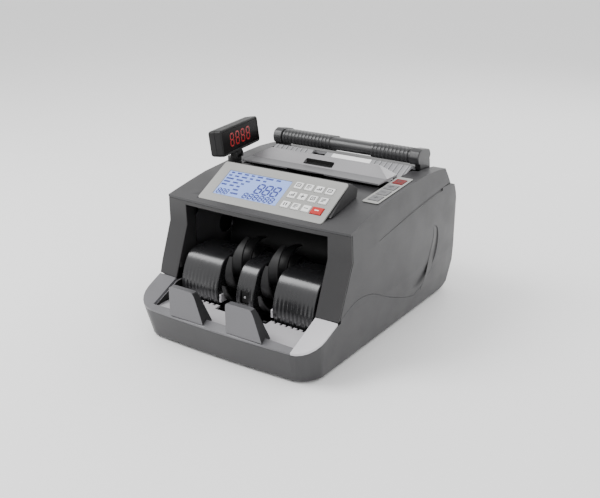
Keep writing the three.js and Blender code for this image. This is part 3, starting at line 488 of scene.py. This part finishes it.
def tidy_mesh(piece):
    """Merges what a boolean leaves behind: doubled corners and triangles that lie in one plane."""
    bm = bmesh.new()
    bm.from_mesh(piece.data)
    bmesh.ops.remove_doubles(bm, verts=bm.verts, dist=0.05 * MM)
    bmesh.ops.dissolve_degenerate(bm, edges=bm.edges, dist=0.02 * MM)
    bmesh.ops.dissolve_limit(bm, angle_limit=math.radians(0.05), verts=bm.verts, edges=bm.edges)
    bm.to_mesh(piece.data)
    bm.free()
    return piece


def settle(piece, body, material, *nodes, slot=None):
    """Names what the piece rides on, what it is made of and which CAD nodes it stands for."""
    paint(piece, material)
    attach(piece, body)
    if nodes:
        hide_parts(*nodes)
    return piece


# ---------- CAD nodes that keep their shape ----------
EDGES = {  # bevel width of each node's edges, in millimetres; the rest take EDGE
    "lower_case": 0.7, "upper_housing": 0.7, "front_bezel": 0.8, "rear_panel": 0.5, "stacker_tray": 0.7,
    "console_housing": 0.8, "console_faceplate": 0.2, "feed_cover": 0.7, "hopper_ramp": 0.4,
    "impeller_shaft": 0.25, "display_mount": 0.8, "mains_inlet": 0.4, "power_rocker": 0.6,
}
EDGE = 0.35
FLAT_WITHIN = math.radians(0.6)


def dress_node(node, slot):
    """Gives a CAD node its material and, by modifiers alone, rounded edges and smooth curved faces."""
    piece = bpy.data.objects[node]
    paint(piece, NODE_MATERIALS.get(node, slot))
    merge = piece.modifiers.new("merge", "WELD")
    merge.merge_threshold = 0.03 * MM
    flat = piece.modifiers.new("join_flat_faces", "DECIMATE")
    flat.decimate_type = "DISSOLVE"
    flat.angle_limit = FLAT_WITHIN
    soften(piece, EDGES.get(node, EDGE))


def dress_nodes(replaced):
    """Dresses every CAD node that no finer piece stands for."""
    for subpart in frame["record"]["subparts"]:
        if subpart["node"] not in replaced:
            dress_node(subpart["node"], subpart["material_slot"])


# ---------- shells ----------
def clone(node):
    """A copy of a CAD node's mesh, to be cut and finished as a piece of its own."""
    made = bpy.data.objects.new(node + "_skin", bpy.data.objects[node].data.copy())
    SCENE.collection.objects.link(made)
    bm = bmesh.new()
    bm.from_mesh(made.data)
    bmesh.ops.remove_doubles(bm, verts=bm.verts, dist=0.002 * MM)
    bm.to_mesh(made.data)
    bm.free()
    return made


def side_x(z):
    """Half the body's width at height z, above the middle of its sides."""
    return HALF_WIDTH - max(0, z - TAPER_FROM_Z) / TAPER


def groove(path, radii, depths, side):
    """A cutter for a groove in the body's side wall, along [y, z] points."""
    points = [(side * (side_x(z) + radius - depth), y, z)
              for (y, z), radius, depth in zip(path, radii, depths)]
    return tube("groove", points, radii)


def crescent(name, side, top, floor_rise=0):
    """The finger recess in front of the hooked line, deepest along it, as a solid.

    top is how far it stands over the wall. floor_rise lifts its floor, which stays below the wall's face.
    """
    path = smooth(HOOK, 5)
    thick = 0.3
    below_face = 0.05
    rings = []
    for i, point in enumerate(path):
        outer = Vector(point)
        swell = math.sin(math.pi * (0.03 + 0.94 * i / (len(path) - 1))) ** 1.4
        inner = outer + (Vector(HOOK_MIDDLE) - outer) * (0.05 + 0.31 * swell)
        face = side_x(outer.y)
        deep = face - 0.5 - 1.55 * swell + floor_rise
        shallow = min(face - below_face, face - 0.1 - 0.5 * swell + floor_rise)
        rings.append([(side * max(face + top, shallow), *inner), (side * max(face + top, deep), *outer),
                      (side * (deep - thick), *outer), (side * (shallow - thick), *inner)])
    return loft(name, rings)


def make_wing_shade_sheets():
    """Thin dark sheets on the floor of the side recesses, well below the wall's face, as painted shade in the
    recesses.
    """
    for name, side in SIDES.items():
        # The dark sheet is painted shade in the recess.
        shade_sheet = crescent(f"wing_inlay_{name}", side, top=-9, floor_rise=0.25)
        settle(shade_sheet, "case", "bezel_grey", slot="body_grey")


def hook_groove(side):
    """The rear wing's hooked line, widest and deepest at its middle."""
    path = smooth(HOOK, 5)
    swell = [0.3 + 0.7 * math.sin(math.pi * min(1, i / (len(path) - 1) * 0.92 + 0.06))
             for i in range(len(path))]
    return groove(path, [1.6 * s for s in swell], [1.9 * s for s in swell], side)


def crease_groove(side):
    """The crease along the upper side, which fades out towards the front."""
    path = smooth(CREASE, 6)
    fade = [i / (len(path) - 1) for i in range(len(path))]
    return groove(path, [1.3 + 0.9 * f for f in fade], [0.3 + 1.5 * f for f in fade], side)


def finger_scoop():
    """A cutter that lets the scoop under the cover's lip run out to both sides."""
    steps, sides, blunt = 24, 32, 0.0004
    rings = []
    for i in range(steps + 1):
        along = -1 + 2 * i / steps
        swell = math.sqrt(max(blunt, 1 - along * along))
        rings.append([(SCOOP["x"] + SCOOP["half"] * along, SCOOP["y"] + SCOOP["reach"] * swell * math.cos(a),
                       SCOOP["z"] + SCOOP["depth"] * swell * math.sin(a)) for a in ring_angles(sides)])
    return loft("scoop", rings)


def make_shells():
    """The two halves of the case, with the recesses and lines in their sides."""
    lower, upper = clone("lower_case"), clone("upper_housing")
    for side in SIDES.values():
        cut(lower, hook_groove(side), crescent("recess", side, top=2))
        cut(upper, hook_groove(side), crescent("recess", side, top=2), crease_groove(side))
    cut(lower, box("seam", *SEAM))
    cut(upper, finger_scoop())
    for skin, node in ((lower, "lower_case"), (upper, "upper_housing")):
        tidy_mesh(skin)
        settle(soften(skin, EDGES[node]), "case", "body_grey", node)


# ---------- carrying handle ----------
def make_handle():
    """The handle's bar with its two ribbed grips, and its ends with their arms and pins."""
    section = fillet(HANDLE_SECTION, 5, 4)
    bar = prism_x("handle_bar", inset(section, 1.6), 4 - HANDLE_HALF, HANDLE_HALF - 4)  # ends inside the caps
    settle(soften(bar, 0.3), "carry_handle", "handle_grey", "carry_handle", slot="body_grey")
    for name, (x0, x1) in GRIPS.items():
        count = round((x1 - x0) / RIB_PITCH)
        pitch = (x1 - x0) / count
        rib = ((0, 1.2), (0.16, 0.25), (0.62, 0.25), (0.78, 1.2))  # place in the pitch, and depth
        rings = [(x0 + (i + at) * pitch, depth) for i in range(count) for at, depth in rib]
        grip = loft(f"handle_grip_{name}",
                    [[(x, y, z) for y, z in inset(section, depth)] for x, depth in rings])
        settle(soften(grip, 0.18, 2, 40), "carry_handle", "handle_grey", slot="body_grey")
    for name, side in SIDES.items():
        x0, x1 = HANDLE_HALF - 7, HANDLE_HALF + 5.5
        hexagon = fillet(inset(HANDLE_SECTION, -0.6), 1.6, 2)
        cap = loft("cap", [[(side * x, y, z) for y, z in inset(hexagon, depth)]
                           for x, depth in ((x0, 0.5), (x0 + 0.6, 0), (x1 - 1, 0), (x1, 1))])
        foot = arc(*HANDLE_PIVOT, 6, 180, 360, 16)
        leg = fillet([*foot, (119, 171), (117.5, 182), (90, 184), (94, 171.5)], 1.5, 2)
        arm = prism_x("arm", leg, *sorted((side * (HANDLE_HALF - 1.5), side * x1)))
        pin = rod_x("pin", *HANDLE_PIVOT, 2.2, *sorted((side * (x1 - 0.5), side * 110)), 24)
        cap = join(cap, arm, pin)
        cap.name = f"handle_end_{name}"
        settle(soften(tidy_mesh(cap), 0.5), "carry_handle", "handle_grey", slot="body_grey")


# ---------- stacker ----------
def blade_rings(start):
    """Sections of one soft blade from the hub to its narrow tip, trailing the rotation as it goes out."""
    steps = 14
    rings = []
    for i in range(steps + 1):
        t = i / steps
        angle = start - BLADE["sweep"] * t * t
        reach = BLADE["root"] + (IMPELLER["r"] - BLADE["root"]) * t
        thick = BLADE["thin"] + BLADE["swell"] * math.sin(math.pi * (0.12 + 0.86 * t)) ** 0.8
        outer = max(0, (t - BLADE["taper_from"]) / (1 - BLADE["taper_from"]))
        half = IMPELLER["width"] / 2 * (1 - BLADE["taper"] * outer ** 2)
        turn = -math.atan2(BLADE["lean"] * t * reach, IMPELLER["r"] - IMPELLER["hub"])
        centre = Vector((IMPELLER["y"] + reach * math.cos(angle), IMPELLER["z"] + reach * math.sin(angle)))
        normal = Vector((-math.sin(angle + turn), math.cos(angle + turn)))
        section = rounded_rect(-half, half, -thick, thick, min(thick, half) * 0.8, 2)
        rings.append([(u, *(centre + normal * v)) for u, v in section])
    return rings


def make_impeller(name, x):
    """A hub with soft curved blades and a bore for the shaft."""
    half = IMPELLER["width"] / 2
    wheel = rod_x("impeller", IMPELLER["y"], IMPELLER["z"], IMPELLER["hub"], -half, half)
    for i in range(IMPELLER["blades"]):
        join(wheel, loft("blade", blade_rings(2 * math.pi * i / IMPELLER["blades"])))
    cut(wheel, rod_x("bore", IMPELLER["y"], IMPELLER["z"], IMPELLER["shaft"], -half - 1, half + 1))
    wheel.data.transform(Matrix.Translation((x * MM, 0, 0)))
    wheel.name = f"{name}_wheel"
    settle(soften(tidy_mesh(wheel), 0.2, 1, 35), "impellers", "black_rubber", name)


def guide_shape(name, x0, x1):
    """One smoothly rounded note guide whose face turns into low upright ribs towards its foot."""
    outline = [*smooth(GUIDE_FACE, 5), (GUIDE_BACK, GUIDE_FOOT), (GUIDE_BACK, GUIDE_FACE[0][1])]
    inner = inset(outline, 1)
    slice_width = 0.6
    steps = round((x1 - x0) / slice_width)
    rings = []
    for i in range(steps + 1):
        x = x0 + (x1 - x0) * i / steps
        edge = (1.2, 0.35, 0)[min(i, steps - i, 2)]
        wave = GUIDE_RIB["depth"] * (1 - math.cos(2 * math.pi * (x - x0) / GUIDE_RIB["pitch"]))
        ring = []
        for (y, z), (v, w) in zip(outline, inner):
            ribbed = (GUIDE_RIB["gone_z"] - z) / (GUIDE_RIB["gone_z"] - GUIDE_RIB["full_z"])
            depth = edge + wave * min(1, max(0, ribbed)) * (y < GUIDE_BACK)
            ring.append((x, y + (v - y) * depth, z + (w - z) * depth))
        rings.append(ring)
    return loft(name, rings)


def make_guides():
    """The three note guides, which are cut for the impeller shaft, and the bar that joins their feet."""
    bore, reach = 5.5, 99
    for name, (x0, x1) in GUIDE_SPANS.items():
        guide = cut(guide_shape(f"stacker_guide_{name}", x0, x1),
                    rod_x("bore", IMPELLER["y"], IMPELLER["z"], bore, -reach, reach, 24))
        if name == "centre":
            cut(guide, box("cavity", *SENSOR_CAVITY))
        nodes = ("stacker_guide",) if name == "centre" else ()
        settle(soften(guide, 0.15, 1, 50), "case", "smoke_plastic", *nodes)
    bar = prism_x("stacker_guide_bar", rounded_rect(GUIDE_FACE[-1][0], GUIDE_BACK, GUIDE_FOOT, 10.4, 0.8, 3),
                  GUIDE_SPANS["left"][0], GUIDE_SPANS["right"][1])
    settle(soften(bar, 0.2), "case", "smoke_plastic")


def make_guide_clips():
    """Two small light clips between the guides."""
    half, z0, z1, place = 1.6, 42, 52, 36.2
    for name, side in SIDES.items():
        outline = rounded_rect(side * place - half, side * place + half, z0, z1, 1)
        clip = loft(f"guide_clip_{name}", [[(x, y, z) for x, z in inset(outline, depth)]
                                           for y, depth in ((-115.6, 0.6), (-114.8, 0), (-104, 0))])
        settle(soften(clip, 0.3), "case", "silver_plastic")


def make_sensor():
    """The stacker sensor in the middle guide: a dark window with a small round lens."""
    settle(soften(box("stack_sensor", *SENSOR_WINDOW), 0.8), "case", "black_plastic")
    x, z = -0.2, 57.5
    profile = ((-115, 1.4), (-115.6, 1.35), (-116.1, 1.1), (-116.4, 0.5))  # y and radius
    lens = loft("stack_sensor_lens", [[(x + r * math.cos(a), y, z + r * math.sin(a)) for a in ring_angles(20)]
                                      for y, r in profile])
    settle(soften(lens, 0.1), "case", "ramp_grey", slot="silver_plastic")


def make_note_stop(name, x):
    """A hollow stop with a slanting right edge; that edge is painted darker than the rest, as painted shade
    on the side turned away from the key light.
    """
    low, shoulder, top = STOP["z"]
    front = fillet([(x, low), (x + STOP["width"], low), (x + STOP["slant"][0], shoulder),
                    (x + STOP["slant"][1], top), (x, top)], 4.5, 5)
    side = [(-169.4, 40.4), (-160.6, 44.3), (-160.6, low), (-153, low), (-162, top), (-169.4, top)]
    stop = within(prism_y("stop", front, -170, -150), prism_x("side", side, x - 5, x + 60))
    hollow = [(u, v - STOP["roof"]) for u, v in inset(front, STOP["wall"])]
    cut(stop, prism_y("hollow", hollow, -167, -140))
    stop.name = f"{name}_clip"
    settle(soften(tidy_mesh(stop), 1.3, 4), "case", "stop_grey", name, slot="silver_plastic")
    # Faces turned to the right take the darker material as painted shade.
    stop.data.materials.append(MATERIALS["handle_grey"])
    for polygon in stop.data.polygons:
        polygon.material_index = int(polygon.normal.x > 0.6)


# ---------- console and customer display ----------
def bar_shape(u0, v0, u1, v1, half):
    """A lit segment from one end point to the other, with pointed ends."""
    start, end = Vector((u0, v0)), Vector((u1, v1))
    along = (end - start).normalized()
    across = Vector((-along.y, along.x))
    gap = half * 0.35
    start, end = start + along * gap, end - along * gap
    return [tuple(p) for p in (start, start + (along - across) * half, end - (along + across) * half, end,
                               end - (along - across) * half, start + (along + across) * half)]


def digit(u, v, width, height, half, lean=0.12):
    """The seven segments of a figure eight whose lower left corner is at (u, v)."""
    def corner(across, up):
        return u + across * width + up * height * lean, v + up * height
    ends = [((0, 0), (1, 0)), ((0, 0.5), (1, 0.5)), ((0, 1), (1, 1)), ((0, 0), (0, 0.5)), ((0, 0.5), (0, 1)),
            ((1, 0), (1, 0.5)), ((1, 0.5), (1, 1))]
    return [bar_shape(*corner(*a), *corner(*b), half) for a, b in ends]


def word(u, v, marks, size=2.3):
    """A row of small upright marks that stands for printed legends without being any lettering."""
    step, wide = size * 0.66, size * 0.5
    lefts = [u + k * step for k in range(marks)]
    return [[(left, v), (left + wide, v), (left + wide, v + size), (left, v + size)] for left in lefts]


# Each row of figures has a count, the left, the bottom, the pitch, and digit()'s width, height and half.
LCD_FIGURES = ((3, -20, 23.4, 11, (7.6, 14.2, 1.05)), (6, -30, 13.2, 7.3, (4.8, 7.6, 0.72)),
               (3, -67, 13.2, 5.6, (3.6, 7.4, 0.62)))
# Each row of legends has its left, its bottom and how many marks are in each word.
LCD_LEGENDS = ((-66, 46.4, (3, 4, 4, 3, 5, 7, 4)), (-67, 41.6, (3, 4, 5, 3, 4, 3)), (-67.5, 36.6, (7, 6, 4)),
               (-68, 31.6, (6, 5, 3)), (-68, 26.6, (5, 4, 3)), (-48, 21.2, (5,)), (-48, 15.4, (7,)))
LCD_INK = (-0.29, -0.12)  # bottom and top, below the faceplate's face


def make_lcd_content():
    """The LCD's window, and its figures and legends as one thin layer of ink."""
    shapes = [shape for count, u, v, pitch, size in LCD_FIGURES for i in range(count)
              for shape in digit(u + i * pitch, v, *size)]
    mark_pitch, word_gap = 1.52, 4
    for u, v, counts in LCD_LEGENDS:
        for marks in counts:
            shapes += word(u, v, marks)
            u += marks * mark_pitch + word_gap
    settle(plates("lcd_figures", shapes, *LCD_INK, ON_CONSOLE), "case", "lcd_ink", slot="lcd_panel")
    window = clone("lcd_window")
    settle(soften(window, 0.2), "case", "lcd_panel", "lcd_window")


ICONS = {  # plain figures made of upright rectangles: left, bottom, right, top
    "frame": [(-3, -2.6, 3, -1.5), (-3, 1.5, 3, 2.6), (-3, -1.5, -1.9, 1.5), (1.9, -1.5, 3, 1.5),
              (-0.8, -0.7, 0.8, 0.7)],
    "rows": [(-2.8, 1.4, 2.8, 2.5), (-2.8, -0.5, 2.8, 0.6), (-2.8, -2.4, 1, -1.3)],
    "plus": [(-2.7, -0.6, 2.7, 0.6), (-0.6, -2.7, 0.6, -0.6), (-0.6, 0.6, 0.6, 2.7)],
    "steps": [(-3, -2.4, -1.4, -0.6), (-0.8, -2.4, 0.8, 0.8), (1.4, -2.4, 3, 2.4)],
    "pause": [(-2.2, -2.3, -0.8, 2.3), (0.8, -2.3, 2.2, 2.3)],
    "minus": [(-2.6, -0.55, 2.6, 0.55)],
}
KEY_ICONS = (("frame", "rows", "steps", "frame"), ("steps", "plus", "frame", "rows"),
             ("pause", "rows", "minus", "minus"))
SIDE_ICONS = ("plus", "minus", "rows", "pause")
ICON_THICK = 0.08
SIDE_KEY_RISE = 2
SUNK = 0.02  # how deep the ink of a sign is let into its key


def icon(key, kind, place, lift, at, material):
    """The sign on a key, which rides on the key's own body."""
    corners = [[(a, b), (c, b), (c, d), (a, d)] for a, b, c, d in ICONS[kind]]
    moved = [[(u + place[0], v + place[1]) for u, v in corner] for corner in corners]
    settle(plates(f"{key}_mark", moved, lift, lift + ICON_THICK, at), key, material, slot="black_plastic")


def make_key_marks():
    for row, v in enumerate(KEY_ROWS):
        for column, x in enumerate(KEY_COLUMNS):
            key = f"key_{row + 1}{'abcd'[column]}"
            ink = "white_print_and_highlight" if key == "key_3d" else "mark_dark"
            icon(key, KEY_ICONS[row][column], (x, v), KEY_RISE - SUNK, ON_CONSOLE, ink)
    for i, y in enumerate(SIDE_KEY_Y):
        icon(f"side_key_{i + 1}", SIDE_ICONS[i], (0, y), SIDE_KEY_RISE - SUNK, ON_DECK, "mark_dark")


def rounded_block(name, half_x, half_z, y_levels, radius, at):
    """A block with soft front and rear edges: each level gives a y and how far the outline draws in there."""
    outline = rounded_rect(-half_x, half_x, -half_z, half_z, radius, 8)
    return loft(name, [[(x, y, z) for x, z in inset(outline, d)] for y, d in y_levels], at)


def make_display():
    """The customer display's case in two halves with its lug and pin, the window and the figures."""
    half_x, half_z, depth = DISPLAY["width"] / 2, DISPLAY["height"] / 2, DISPLAY["depth"]
    front = ((0, 0.9), (0.25, 0.35), (0.8, 0), (8.2, 0), (8.5, 0.35))
    rear = ((8.7, 0.35), (9, 0.1), (depth - 2.6, 0.5), (depth - 0.9, 1.2), (depth - 0.2, 2.2), (depth, 3.4))
    frame_piece = rounded_block("display_front", half_x, half_z, front, 4, ON_DISPLAY)
    rim = 2.5
    recess = rounded_rect(rim - half_x, half_x - rim, rim - half_z, half_z - rim, 2, 5)
    cut(frame_piece, prism_y("recess", recess, -5, 3, ON_DISPLAY))
    settle(soften(tidy_mesh(frame_piece), 0.25), "display_head", "black_plastic", "display_case")
    back = rounded_block("display_back", half_x, half_z, rear, 4, ON_DISPLAY)
    middle, eye = depth / 2, 3.6
    lug = [*arc(middle, -DISPLAY["drop"], eye, 180, 360, 16), (middle + eye, -half_z + 1),
           (middle - eye, -half_z + 1)]
    join(back, prism_x("lug", lug, -4.5, 4.5, ON_DISPLAY))
    pin = arc(middle, -DISPLAY["drop"], 1.5, 0, 345, 23)
    join(back, prism_x("pin", pin, -8.6, 8.6, ON_DISPLAY))
    settle(soften(tidy_mesh(back), 0.25), "display_head", "black_plastic")
    glass = clone("display_window")
    settle(soften(glass, 0.3), "display_head", "red_window", "display_window")
    left, pitch = -26, 13.6
    shapes = [shape for i in range(4) for shape in digit(left + i * pitch, -7.2, 7.6, 14.4, 0.9, 0.08)]
    figures = plates("display_figures", shapes, -0.39, -0.28, DISPLAY_FACE)
    settle(figures, "display_head", "red_digits", slot="red_window")


# ---------- tray and hopper ----------
def make_pocket_shade_plates():
    """Dark plates over the inner faces of the tray's side walls, as painted shade in the pocket."""
    outline = [(-159.5, 38.2), (-116.6, 39.3), (-105, 39.3), (-105, 56.2), (-119.6, 56.2), (-159.5, 38.6)]
    for name, side in SIDES.items():
        # The dark plate is painted shade on the wall's inner face.
        shade_plate = prism_x(f"pocket_liner_{name}", outline, *sorted((side * 96.1, side * 96.7)))
        settle(soften(shade_plate, 0.15), "case", "black_plastic")


def make_tray():
    """The stacker tray: its rim and left slope are darker than its floor and right slope, as painted shade on
    one silver part.
    """
    skin = clone("stacker_tray")
    tidy_mesh(skin)
    bm = bmesh.new()
    bm.from_mesh(skin.data)
    for place, normal in (((TRAY_PAINTED_SHADE_X, 0, 0), (1, 0, 0)), ((-TRAY_PAINTED_SHADE_X, 0, 0), (1, 0, 0)),
                          ((0, TRAY_PAINTED_SHADE_Y, 0), (0, 1, 0))):
        everything = [*bm.verts, *bm.edges, *bm.faces]
        bmesh.ops.bisect_plane(bm, geom=everything, plane_co=metres(*place), plane_no=normal)
    bm.to_mesh(skin.data)
    bm.free()
    settle(soften(skin, 0.5), "case", "silver_plastic", "stacker_tray")
    # The rim and left slope take the darker material as painted shade.
    skin.data.materials.append(MATERIALS["stop_grey"])
    for polygon in skin.data.polygons:
        x, y = polygon.center.x / MM, polygon.center.y / MM - SHIFT_Y
        polygon.material_index = int(x < -TRAY_PAINTED_SHADE_X or (x < TRAY_PAINTED_SHADE_X and y < TRAY_PAINTED_SHADE_Y))


def make_finger_pocket():
    """The black pocket behind the cover's finger slot."""
    outline = [(30.2, 173.4), (46, 173.4), (46, 181.2), (37.7, 181.2), (37.7, 176.7), (30.2, 176.7)]
    pocket = prism_x("finger_pocket", outline, -20.4, 20.4)
    settle(soften(pocket, 0.1), "feed_cover", "black_plastic")


def shade_cover_lip():
    """The cover's lip, in front of its sloping face, is a shade darker, as painted shade on the one silver
    cover.
    """
    cover = bpy.data.objects["feed_cover"]
    # A darker copy of the cover's silver is painted shade on the lip.
    cover.data.materials.append(MATERIALS["cover_lip_painted_shade"])
    for polygon in cover.data.polygons:
        polygon.material_index = int(polygon.center.y / MM - SHIFT_Y < LIP_BACK)


def make_vent_baffle():
    """A dark plate a little way behind the rear vents, so that they don't let daylight through."""
    baffle = box("vent_baffle", (-84, 84), (152, 152.8), (80, 119))
    settle(soften(baffle, 0.2, 1), "case", "black_plastic")


def make_screws():
    """Four cross-headed screws in the corners of the rear panel, the upper two on its leaning part."""
    low, high = (REAR_Y, 28, 0), (164.55, 112, math.atan2(6.5, 28))  # y, z and lean
    profile = ((-1.5, 2.9), (0.3, 2.9), (0.9, 2.5), (1.15, 1.6))  # y from the panel's face, and radius
    long, wide = 1.5, 0.3
    for level, (y, z, lean) in (("low", low), ("high", high)):
        for name, side in SIDES.items():
            at = Matrix.Translation((side * 86, y, z)) @ Matrix.Rotation(lean, 4, "X")
            head = loft(f"screw_{level}_{name}", [[(r * math.cos(a), depth, r * math.sin(a))
                                                   for a in ring_angles(24)] for depth, r in profile], at)
            for half_x, half_z in ((long, wide), (wide, long)):
                slot = rounded_rect(-half_x, half_x, -half_z, half_z, 0.1, 1)
                cut(head, prism_y("slot", slot, 0.3, 2, at))
            settle(soften(head, 0.15, 2), "case", "steel")


def make_ramp_highlight():
    """A painted highlight: a white strip in the middle of the ramp, lying on its sloping face, where the ramp
    shows a bright reflection.
    """
    # The white strip is a painted reflection of the light on the ramp.
    panel = prism_x("ramp_panel", ((66, 169.9), (83.2, 178.1), (83, 178.5), (65.8, 170.4)), -10, 45)
    settle(soften(panel, 0.12), "case", "white_print_and_highlight", slot="ramp_grey")


# ---------- the scene ----------
add_camera()
add_world()
add_floor()
add_light("key_light", (-0.9, -0.7, 1.4), (0.9, 0.9), 26)
add_light("fill_light", (1.4, -0.7, 0.9), (1.4, 1.0), 3)
add_light("rear_light", (0.2, 1.3, 1.1), (1.2, 0.8), 10)
make_shells()
make_handle()
make_impeller("impeller_left", -IMPELLER["x"])
make_impeller("impeller_right", IMPELLER["x"])
make_guides()
make_guide_clips()
make_sensor()
make_note_stop("note_stop_left", STOP["x"][0])
make_note_stop("note_stop_right", STOP["x"][1])
make_lcd_content()
make_key_marks()
make_display()
make_ramp_highlight()
make_pocket_shade_plates()
make_finger_pocket()
make_tray()
make_wing_shade_sheets()
make_vent_baffle()
make_screws()
dress_nodes({"lower_case", "upper_housing", "carry_handle", "impeller_left", "impeller_right",
             "stacker_guide", "stacker_tray", "note_stop_left", "note_stop_right", "lcd_window",
             "display_case", "display_window"})
shade_cover_lip()
